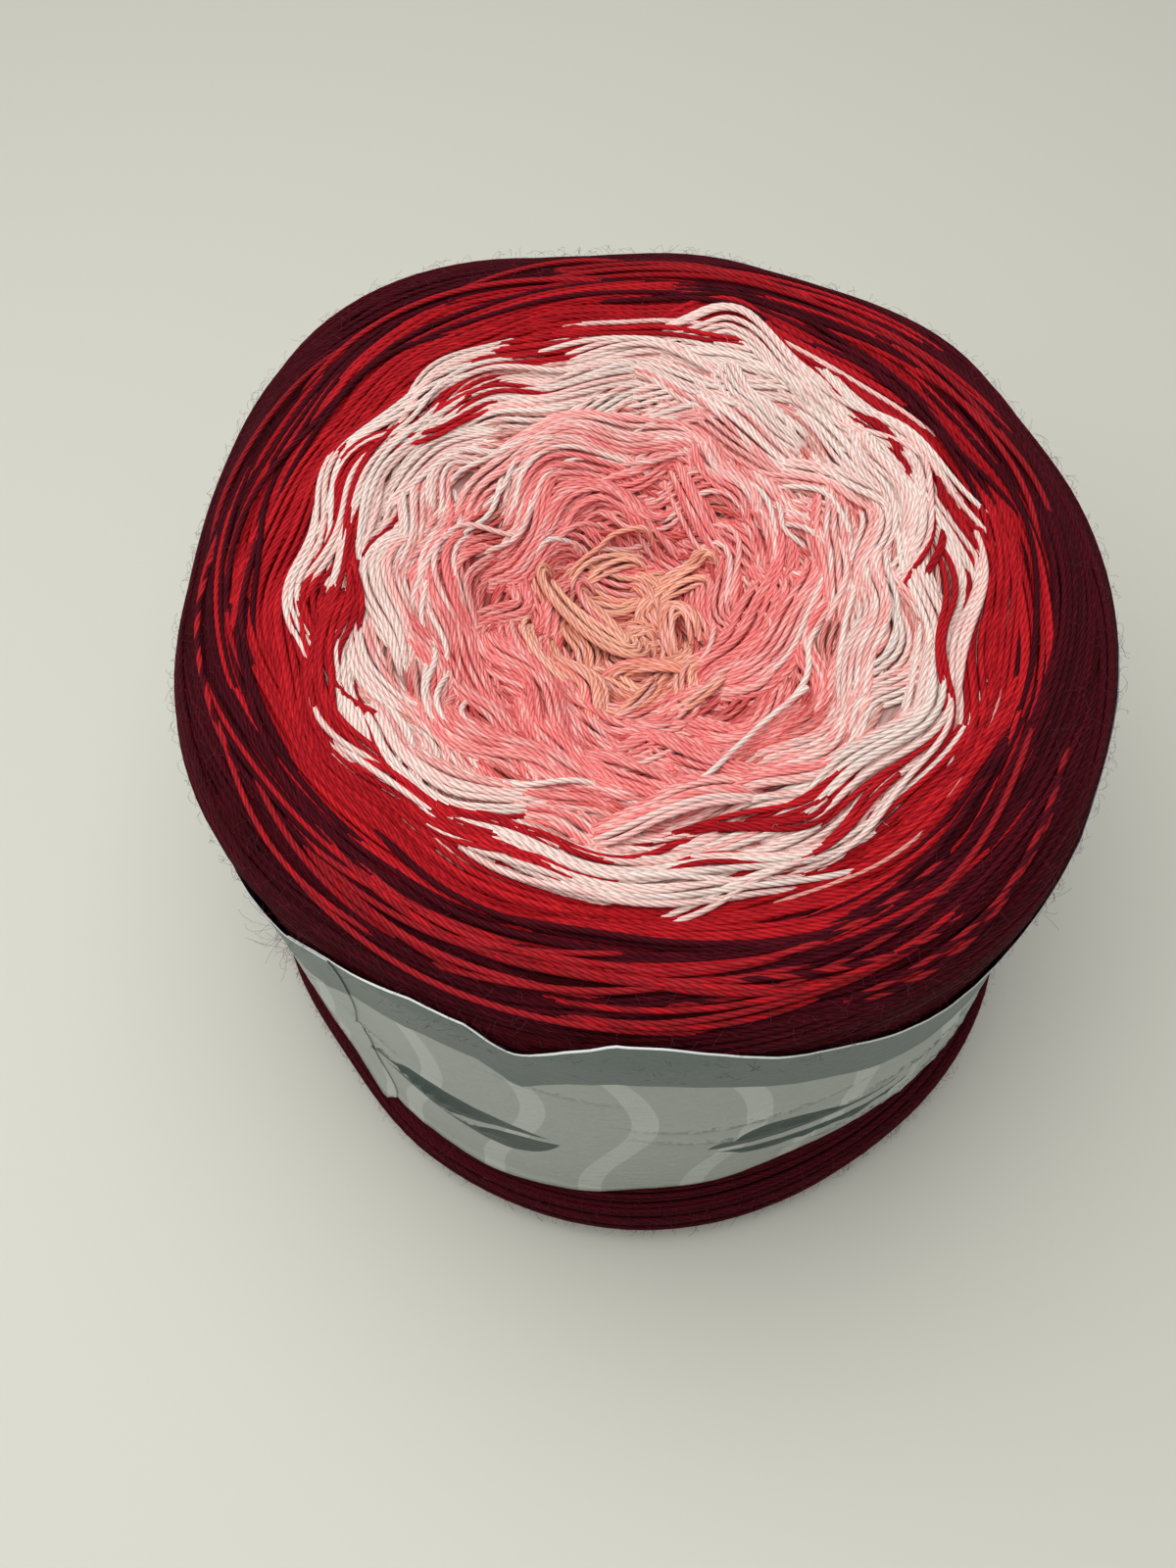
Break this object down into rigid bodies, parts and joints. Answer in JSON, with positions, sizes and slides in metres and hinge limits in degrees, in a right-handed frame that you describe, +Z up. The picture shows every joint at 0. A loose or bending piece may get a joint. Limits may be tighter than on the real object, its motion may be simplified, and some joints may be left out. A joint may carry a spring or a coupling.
{
  "type": "yarn cake with paper band",
  "caption": "A flat round cake of fine gradient yarn, from peach and pink through white to red and maroon, in a plain grey paper band, with a loose end lying on its loosened top",
  "frame": {"origin": "middle of the flat underside, on the surface the cake rests on", "axes": "+Z is up, from the flat underside to the loosened top; -Y points to the front, where the band's upper edge stands highest; +X points to the side where the loose end points"},
  "size_m": [0.1495, 0.1578, 0.0966],
  "materials": {
    "yarn": "matte",
    "paper": "printed paper, satin",
    "pale_yarn": "matte"
  },
  "bodies": {
    "root": {"wound_yarn": "yarn", "paper_band": "paper", "loose_end": "pale_yarn"}
  },
  "joints": []
}
